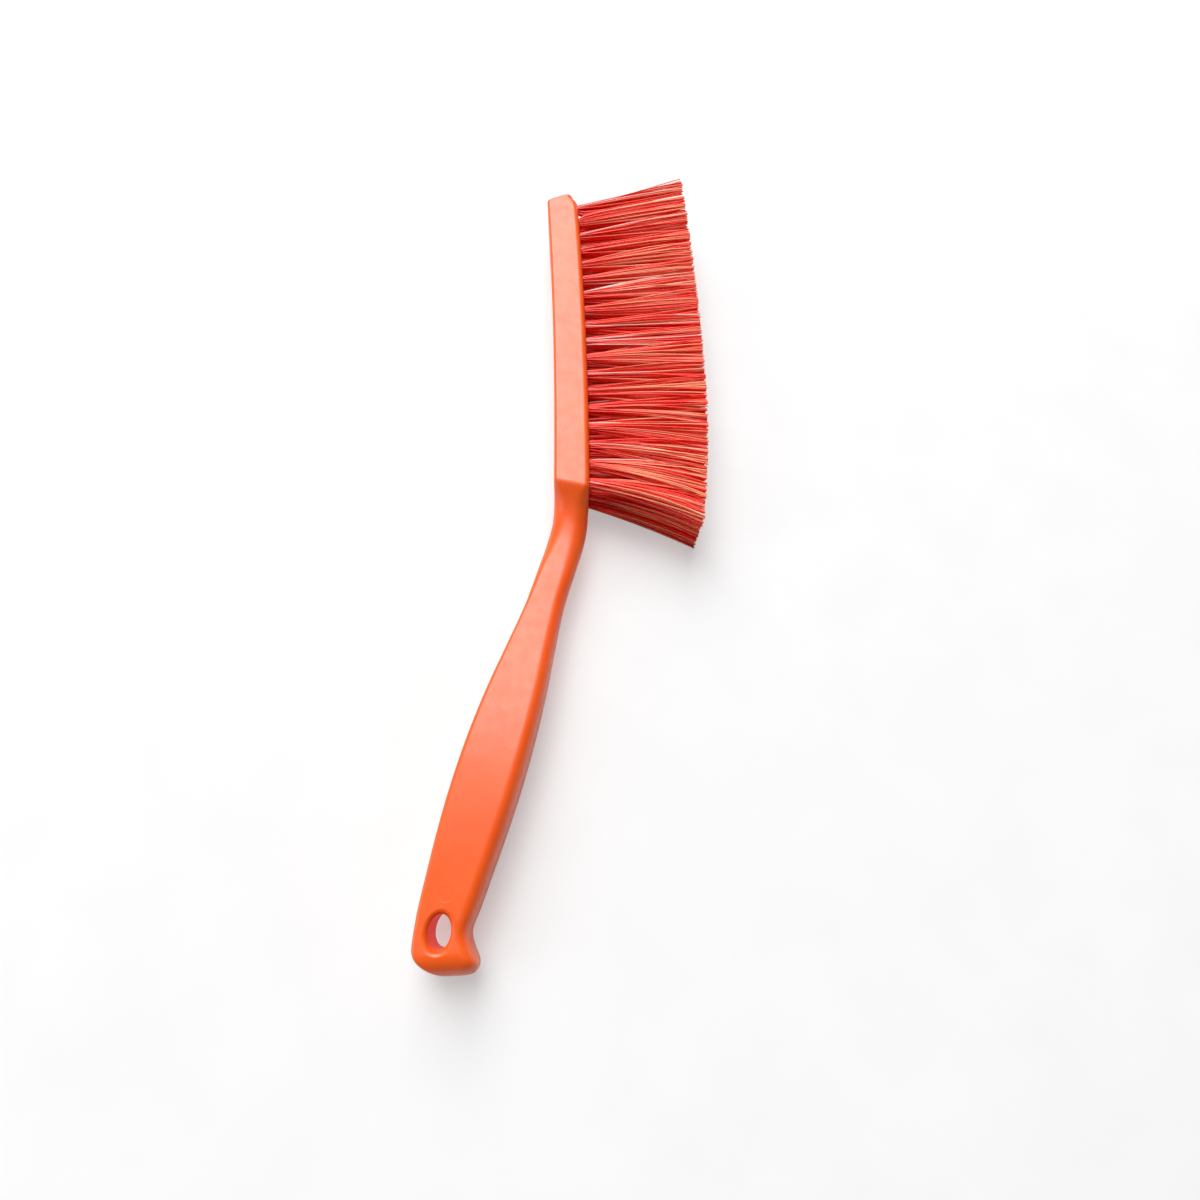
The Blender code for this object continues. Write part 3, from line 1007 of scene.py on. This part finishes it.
    def crown(self, x: float, y: float) -> float:
        """Height of the handle's upper side over its middle plane.

        Args:
            x: Place across the outline.
            y: Place along the brush.

        Returns:
            The height there.
        """
        section = self.handle_section(y)
        across = x - section.middle.x
        reach, drop = section.front_round if across > 0 else section.back_round
        out = max(abs(across) - section.width / 2 + reach, 0.0) / reach
        out = min(out, self.mouth_reach_share)
        return section.depth / 2 - drop * (1 - math.sqrt(1 - out**2))

    def mouth_rings(self) -> list[Span]:
        """Rings of the hanging hole's mouth.

        Returns:
            How far each flares out, and how far it lies under the handle's crown.
        """
        size, first = self.hang_hole_round, self.mouth_start
        rings = [(0.0, size)]
        for i in range(1, self.mouth_steps + 1):
            turn = blend(math.pi / 2, first, i / self.mouth_steps)
            rings.append((size * (1 - math.sin(turn)), size * (1 - math.cos(turn))))
        flare, drop = rings[-1]
        rings.append((flare + self.overrun / 2 * math.cos(first), drop - self.overrun / 2 * math.sin(first)))
        return rings

    def hang_hole(self) -> bpy.types.Object:
        """Makes an oval that flares out along a quarter round at both mouths.

        Returns:
            The cutter of the hanging hole.
        """
        half_width, half_length = self.hang_hole_width / 2, self.hang_hole_length / 2
        share = self.hang_hole_share
        top = self.depth(share) / 2 + self.overrun
        centre = Vector((self.middle(share), self.heel_y - share * self.handle_length))
        centre.x -= self.hang_hole_set_back
        turn = Matrix.Rotation(self.hang_hole_angle, 2)
        start_mesh()
        cutter = named("hanging_hole_mouth")
        bpy.ops.mesh.primitive_circle_add(vertices=self.mouth_sides, radius=1)
        bpy.ops.transform.resize(value=(half_width, half_length, 1))
        for side in (1, -1):
            bpy.ops.mesh.select_all(action="SELECT")
            select_by(cutter.data, lambda place: abs(place.z) < SAME_PLACE)
            wide, long = half_width, half_length
            for flare, drop in self.mouth_rings():
                bpy.ops.mesh.extrude_region_move()
                bpy.ops.transform.resize(value=((half_width + flare) / wide, (half_length + flare) / long, 1))
                wide, long = half_width + flare, half_length + flare
                for vert in selected_vertices(cutter.data):
                    vert.co.z = side * (self.crown(*(centre + turn @ vert.co.xy)) - drop)
            bpy.ops.mesh.extrude_region_move()
            for vert in selected_vertices(cutter.data):
                vert.co.z = side * top
            bpy.ops.mesh.edge_face_add()
        bpy.ops.mesh.select_all(action="SELECT")
        bpy.ops.mesh.normals_make_consistent(inside=False)
        bpy.ops.transform.rotate(value=-self.hang_hole_angle, orient_axis="Z", center_override=(0, 0, 0))
        bpy.ops.transform.translate(value=(centre.x, centre.y, 0))
        object_mode()
        return cutter

    def build(self, material: bpy.types.Material) -> bpy.types.Object:
        """Makes the body.

        Args:
            material: Its plastic.

        Returns:
            The finished body, in the row frame.
        """
        body = self.build_skin()
        hole = self.tuft_hole()
        cutters = [self.hang_hole()]
        for name, y, row in self.plan.places():
            cutters.append(copied(hole, f"hole_of_{name}", self.plan.frame(y, row)))
        only(*cutters)
        bpy.ops.object.join()
        cut = {"object": cutters[0], "operation": "DIFFERENCE", "solver": "EXACT", "use_self": True}
        apply_modifier(body, "BOOLEAN", **cut)
        for spent in (cutters[0], hole):
            bpy.data.objects.remove(spent)
        body.data.transform(Matrix.Translation(BRUSH_PLACE))
        only(body)
        bpy.ops.object.shade_smooth_by_angle(angle=self.smooth_angle)
        apply_modifier(body, "WEIGHTED_NORMAL", keep_sharp=True, weight=self.normal_weight)
        dress(body, material)
        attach(body, "root")
        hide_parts("handle_block")
        return body


@dataclass
class Bristles:
    """Tufts of folded filaments, each held in its hole by a steel anchor."""

    plan: TuftPlan
    strands: int = 60
    strand_radius: float = 0.00030
    strand_sides: int = 6
    root_radius: float = 0.0023
    fold_depth: float = 0.0083
    grip_depth: float = 0.0060
    anchor_width: float = 0.0044
    anchor_height: float = 0.0019
    anchor_thickness: float = 0.0004
    anchor_round: float = 0.00008
    anchor_rise: float = 0.0006
    beside_anchor: float = 0.0005
    fold_squeeze: Span = (0.25, 0.9)
    spread_share: float = 0.72
    end_spread: float = 0.0048
    spread_across: float = 0.0048
    side_room: float = 0.0128
    clumps: int = 7
    clump_pull: float = 0.45
    clump_pulls: Span = (0.3, 1.0)
    clump_places: Span = (0.05, 1.0)
    stray_share: float = 0.07
    stray_reach: float = 0.0045
    tip_scatter: float = 0.0008
    bend: float = 0.0004
    droop_share: float = 0.10
    length_scatter: float = 0.0005
    tip_splay: float = 0.35
    splayed_tufts: float = 0.6
    loose_reach: tuple[float, ...] = (0.0006, 0.0012, 0.0019, 0.0027)
    # The loose filaments take the pale colour of the strands painted as glints.
    loose_tone: float = 0.97
    trim_passes: int = 6
    smooth_angle: float = math.radians(65)
    seed: int = 11

    def strand_template(self) -> bpy.types.Mesh:
        """Makes one straight filament of unit radius, as a tube with a ring for each height of the path.

        Returns:
            The filament's mesh.
        """
        start_mesh()
        strand = named("strand")
        bpy.ops.mesh.primitive_circle_add(vertices=self.strand_sides, radius=1, fill_type="NGON")
        rings = len(self.path_shares())
        for _ in range(rings - 1):
            bpy.ops.mesh.extrude_region_move(TRANSFORM_OT_translate={"value": (0, 0, 1)})
        bpy.ops.mesh.select_all(action="SELECT")
        bpy.ops.mesh.normals_make_consistent(inside=False)
        object_mode()
        data = strand.data
        bpy.data.objects.remove(strand)
        return data

    @staticmethod
    def path_shares() -> tuple[float, ...]:
        """Heights of a filament's rings, below 0 in the hole and from 0 to 1 between the face and the tip."""
        return (-1.0, -0.6, 0.0, 0.07, 0.22, 0.42, 0.62, 0.82, 1.0)

    def disc_points(self, scatter: np.random.Generator) -> np.ndarray:
        """Spreads a tuft's roots evenly in a unit disc, in a sunflower pattern that is turned for each tuft.

        Args:
            scatter: Random numbers of this tuft.

        Returns:
            The roots' places.
        """
        number = np.arange(self.strands) + 0.5
        radius = np.sqrt(number / self.strands)
        angle = number * math.pi * (3 - math.sqrt(5)) + scatter.uniform(0, 2 * math.pi)
        return np.stack([radius * np.cos(angle), radius * np.sin(angle)], axis=1)

    def room_along(self, y: float, row: Row) -> Span:
        """How far a tuft's filaments spread along the head at their tips.

        Args:
            y: Place of the tuft's root along the head.
            row: The tuft's row.

        Returns:
            Spread towards the handle and towards the head's tip. It grows where the fan opens.
        """
        rooms = []
        for side in (-1, 1):
            beside = y + side * self.plan.row_pitch(row)
            if abs(beside) > self.plan.row_half + self.plan.pitch / 2:
                rooms.append(self.end_spread)
                continue
            fanned = math.sin(self.plan.lean(beside)) - math.sin(self.plan.lean(y))
            rooms.append(self.spread_share * (abs(beside - y) + side * self.plan.trim_reach * fanned))
        return rooms[0], rooms[1]

    def tip_points(self, roots: np.ndarray, rooms: Span, scatter: np.random.Generator) -> np.ndarray:
        """Where the filaments of one tuft end, across the tuft.

        Args:
            roots: Their places in the hole, in a unit disc.
            rooms: Spread towards the handle and towards the head's tip.
            scatter: Random numbers of this tuft.

        Returns:
            Offsets along and across the head, in metres.
        """
        angle = scatter.uniform(0, 2 * math.pi, self.clumps)
        radius = np.sqrt(scatter.uniform(*self.clump_places, self.clumps))
        centres = np.stack([radius * np.cos(angle), radius * np.sin(angle)], axis=1)
        nearest = np.linalg.norm(roots[:, None] - centres[None], axis=2).argmin(axis=1)
        pull = self.clump_pull * scatter.uniform(*self.clump_pulls, (self.strands, 1))
        tips = roots + (centres[nearest] - roots) * pull
        tips[:, 0] *= np.where(tips[:, 0] < 0, rooms[0], rooms[1])
        tips[:, 1] *= self.spread_across
        tips += scatter.normal(0.0, self.tip_scatter, tips.shape)
        stray = scatter.random(self.strands) < self.stray_share
        tips[stray, 0] += scatter.uniform(-self.stray_reach, self.stray_reach, int(stray.sum()))
        return tips

    def heights(self, place: Matrix, tips: np.ndarray, scatter: np.random.Generator) -> np.ndarray:
        """Where the filaments of one tuft are trimmed off.

        Args:
            place: The tuft's place in the head's layout.
            tips: Where its filaments end, across the tuft.
            scatter: Random numbers of this tuft.

        Returns:
            Height of each filament's end in the tuft's own frame.
        """
        turn = np.array(place)
        height = np.full(len(tips), self.plan.trim_reach)
        for _ in range(self.trim_passes):
            points = np.column_stack([tips, height, np.ones(len(tips))]) @ turn.T
            height += self.plan.reach_at(points[:, 1]) - points[:, 0]
        return height - self.length_scatter * scatter.random(len(tips))

    def splayed(self, y: float, along: np.ndarray) -> np.ndarray:
        """Picks the filaments that spread at once, where the first two tufts turn to each other.

        Args:
            y: Place of the tuft's root along the head.
            along: Where its filaments end, along the head.

        Returns:
            True for each filament that spreads at once.
        """
        from_tip = (self.plan.row_half - y) / self.plan.pitch
        if from_tip < self.splayed_tufts:
            return along < 0
        return (along > 0) & (from_tip < self.splayed_tufts + 1)

    def is_outermost(self, y: float, row: Row) -> bool:
        """Whether this is the upper row's tuft at the tip of the head, which has a few loose filaments."""
        return row is Row.UPPER and y > self.plan.row_half - self.plan.pitch / 2

    def paths(self, y: float, row: Row, scatter: np.random.Generator) -> np.ndarray:
        """Centre lines of one tuft's filaments.

        Args:
            y: Place of the tuft's root along the head.
            row: The tuft's row.
            scatter: Random numbers of this tuft.

        Returns:
            Points by filament and ring, in the head's layout.
        """
        place, lean = self.plan.frame(y, row), self.plan.lean(y)
        roots = self.disc_points(scatter)
        tips = self.tip_points(roots, self.room_along(y, row), scatter)
        if self.is_outermost(y, row):
            tips[: len(self.loose_reach), 0] = self.end_spread + np.array(self.loose_reach)
        height = self.heights(place, tips, scatter)
        splay = np.where(self.splayed(y, tips[:, :1]), self.tip_splay, 1.0)
        start = roots * (self.root_radius - self.strand_radius)
        side = np.where(start[:, :1] < 0, -1.0, 1.0)
        off_anchor = side * np.maximum(np.abs(start[:, :1]), self.beside_anchor)
        held = np.concatenate([off_anchor, start[:, 1:]], axis=1)
        bend = scatter.normal(0.0, self.bend, tips.shape)
        bend[:, 0] += self.droop_share * height * max(-math.sin(lean), 0.0)
        lines = []
        for share in self.path_shares():
            if share <= -1.0:
                flat, level = start * self.fold_squeeze, np.full(self.strands, -self.fold_depth)
            elif share < 0.0:
                flat, level = held, np.full(self.strands, -self.grip_depth)
            else:
                flat = start + (tips - start) * share**splay + bend * 4 * share * (1 - share)
                level = height * share
            lines.append(np.column_stack([flat, level]))
        local = np.stack(lines, axis=1)
        turn = np.array(place)
        points = local @ turn[:3, :3].T + turn[:3, 3]
        points[..., 2] = np.clip(points[..., 2], -self.side_room, self.side_room)
        return points

    def tuft_mesh(
        self, name: str, lines: np.ndarray, strand: bpy.types.Mesh, tones: np.ndarray
    ) -> bpy.types.Mesh:
        """Sets the filament template along each centre line and joins the tuft.

        Args:
            name: Name of the mesh.
            lines: Centre lines in the row frame, by filament and ring.
            strand: The filament template.
            tones: Light to deep, for each filament.

        Returns:
            The tuft's mesh, with each filament's tone and each point's place along it as attributes.
        """
        outline = np.array([vert.co for vert in strand.vertices])
        ring = np.rint(outline[:, 2]).astype(int)
        ahead = np.gradient(lines, axis=1)
        ahead /= np.linalg.norm(ahead, axis=2, keepdims=True)
        across = np.cross(ahead, (0.0, 0.0, 1.0))
        across /= np.linalg.norm(across, axis=2, keepdims=True)
        over = np.cross(across, ahead)
        points = (
            lines[:, ring]
            - across[:, ring] * (outline[:, 0] * self.strand_radius)[None, :, None]
            + over[:, ring] * (outline[:, 1] * self.strand_radius)[None, :, None]
        )
        faces = [tuple(face.vertices) for face in strand.polygons]
        count = len(outline)
        starts = range(0, count * len(lines), count)
        corners = [tuple(start + index for index in face) for start in starts for face in faces]
        mesh = bpy.data.meshes.new(name)
        mesh.from_pydata(points.reshape(-1, 3).tolist(), [], corners)
        shares = np.array(self.path_shares())[ring]
        values = {"strand_tone": np.repeat(tones, count), "strand_place": np.tile(shares, len(lines))}
        for label, value in values.items():
            attribute = mesh.attributes.new(label, "FLOAT", "POINT")
            attribute.data.foreach_set("value", value.astype(np.float32))
        return mesh

    def anchor_template(self) -> bpy.types.Object:
        """Makes a short flat strip of steel with softened edges, which stands across the fold.

        Returns:
            One anchor.
        """
        start_mesh()
        anchor = named("anchor")
        bpy.ops.mesh.primitive_cube_add(size=1)
        bpy.ops.transform.resize(value=(self.anchor_thickness, self.anchor_width, self.anchor_height))
        bpy.ops.mesh.bevel(offset=self.anchor_round, segments=2, affect="EDGES")
        object_mode()
        return anchor

    def build(self, filament: bpy.types.Material, steel: bpy.types.Material) -> list[bpy.types.Object]:
        """Makes every tuft and its anchor.

        Args:
            filament: Finish of the filaments.
            steel: Finish of the anchors.

        Returns:
            The tufts and the anchors, in the row frame.
        """
        strand = self.strand_template()
        anchor = self.anchor_template()
        rise = Matrix.Translation((0, 0, self.anchor_height / 2 - self.fold_depth + self.anchor_rise))
        tufts, anchors = [], []
        for number, (name, y, row) in enumerate(self.plan.places()):
            scatter = np.random.default_rng(self.seed + number)
            place = Matrix.Translation(BRUSH_PLACE) @ self.plan.frame(y, row)
            lines = self.paths(y, row, scatter) + np.array(BRUSH_PLACE)
            tones = scatter.random(self.strands)
            if self.is_outermost(y, row):
                tones[: len(self.loose_reach)] = self.loose_tone
            label = name.removeprefix("tuft_")
            mesh = self.tuft_mesh(f"bristles_{label}", lines, strand, tones)
            tuft = bpy.data.objects.new(mesh.name, mesh)
            bpy.context.scene.collection.objects.link(tuft)
            dress(tuft, filament)
            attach(tuft, "root")
            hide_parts(name)
            tufts.append(tuft)
            strip = copied(anchor, f"anchor_{label}", place @ rise)
            dress(strip, steel)
            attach(strip, "root")
            anchors.append(strip)
        bpy.data.objects.remove(anchor)
        only(*tufts, *anchors)
        bpy.ops.object.shade_smooth_by_angle(angle=self.smooth_angle)
        return tufts + anchors


@dataclass(frozen=True)
class Lamp:
    """Soft rectangular lamp that faces the middle of the brush."""

    name: str
    place: Triple
    size: Span
    power: float

    def build(self) -> None:
        """Sets up the lamp."""
        data = bpy.data.lights.new(self.name, "AREA")
        data.shape = "RECTANGLE"
        data.size, data.size_y = self.size
        data.energy = self.power
        lamp = bpy.data.objects.new(self.name, data)
        bpy.context.scene.collection.objects.link(lamp)
        turn = (-Vector(self.place)).to_track_quat("-Z", "Y").to_matrix().to_4x4()
        lamp.matrix_world = Matrix.Translation(self.place) @ turn


@dataclass
class Studio:
    """Pale floor, soft lamps and the camera."""

    lens: float = 21.0
    sensor_width: float = 36.0
    clip_start: float = 0.01
    camera_place: Triple = (-0.00528, -0.13748, 0.26312)
    camera_tilt: float = math.radians(21.248)
    camera_turn: float = math.radians(-7.539)
    camera_roll: float = math.radians(5.384)
    floor_half: float = 2.5
    floor_drop: float = 0.0002
    air_color: Color = (1.0, 1.0, 1.0, 1.0)
    air_strength: float = 0.06
    diffuse_bounces: int = 12
    lamps: tuple[Lamp, ...] = (
        Lamp("key", (-0.31, 1.52, 2.08), (1.75, 2.76), 108.0),
        Lamp("side", (-1.30, -0.20, 0.55), (0.6, 1.0), 4.0),
    )

    def add_camera(self) -> None:
        """Sets up the camera at the photograph's viewing angle."""
        data = bpy.data.cameras.new("camera")
        data.lens = self.lens
        data.sensor_width = self.sensor_width
        data.clip_start = self.clip_start
        camera = bpy.data.objects.new("camera", data)
        bpy.context.scene.collection.objects.link(camera)
        turn = Matrix.Rotation(self.camera_turn, 4, "Z") @ Matrix.Rotation(self.camera_tilt, 4, "X")
        turn = turn @ Matrix.Rotation(self.camera_roll, 4, "Z")
        camera.matrix_world = Matrix.Translation(self.camera_place) @ turn
        bpy.context.scene.camera = camera

    def add_floor(self) -> None:
        """Lays the floor."""
        bpy.ops.object.select_all(action="DESELECT")
        bpy.ops.mesh.primitive_plane_add(size=2 * self.floor_half, location=(0, 0, -self.floor_drop))
        floor = named("floor")
        dress(floor, PaleFloor().build())

    def fill_air(self) -> None:
        """Sets up the faint light that comes from all round."""
        world = bpy.data.worlds.new("studio_air")
        world.use_nodes = True
        air = world.node_tree.nodes["Background"]
        air.inputs["Color"].default_value = self.air_color
        air.inputs["Strength"].default_value = self.air_strength
        bpy.context.scene.world = world

    def build(self) -> None:
        """Sets up the camera, the floor, the lamps and the air."""
        self.add_camera()
        self.add_floor()
        for lamp in self.lamps:
            lamp.build()
        self.fill_air()
        bpy.context.scene.view_settings.view_transform = "Standard"
        bpy.context.scene.cycles.diffuse_bounces = self.diffuse_bounces


def main() -> None:
    """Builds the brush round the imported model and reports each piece."""
    logging.basicConfig(level=logging.INFO, format="%(message)s")
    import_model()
    plan = TuftPlan()
    plastic = MouldedPlastic().build()
    filament = BristleFilament().build()
    steel = AnchorSteel().build()
    body = BrushBody(plan).build(plastic)
    LOG.info("%s: %d faces", body.name, len(body.data.polygons))
    for piece in Bristles(plan).build(filament, steel):
        LOG.info("%s: %d faces", piece.name, len(piece.data.polygons))
    Studio().build()


if __name__ == "__main__":
    main()
